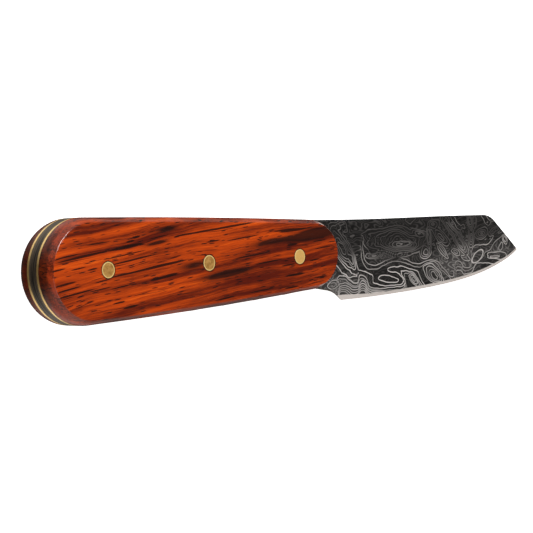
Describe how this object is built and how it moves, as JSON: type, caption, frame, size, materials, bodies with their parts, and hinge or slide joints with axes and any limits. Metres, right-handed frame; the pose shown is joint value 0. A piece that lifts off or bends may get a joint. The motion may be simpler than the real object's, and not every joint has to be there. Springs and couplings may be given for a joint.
{
  "type": "fixed-blade knife",
  "caption": "Small full-tang knife: etched pattern-welded blade with a straight edge and angled point, wooden scales, brass liners and flush brass pins.",
  "frame": {"origin": "middle of the underside of the bounding box, on the surface that the knife lies on", "axes": "+X along the knife to the tip, +Y to the spine, +Z out of the right scale's face"},
  "size_m": [0.217, 0.0298, 0.0144],
  "materials": {
    "blade_steel": "etched pattern-welded steel with bright ground edge",
    "liner_brass": "satin, sanded flush with the handle",
    "scale_wood": "oiled rosewood, buffed to a soft gloss",
    "pin_brass": "satin, sanded flush with the scales",
    "bond_epoxy": "dark cured adhesive"
  },
  "bodies": {
    "root": {"blade": "blade_steel", "right_liner": "liner_brass", "left_liner": "liner_brass", "right_scale": "scale_wood", "left_scale": "scale_wood", "rear_pin": "pin_brass", "middle_pin": "pin_brass", "front_pin": "pin_brass", "right_tang_bond": "bond_epoxy", "left_tang_bond": "bond_epoxy", "right_scale_bond": "bond_epoxy", "left_scale_bond": "bond_epoxy"}
  },
  "joints": []
}
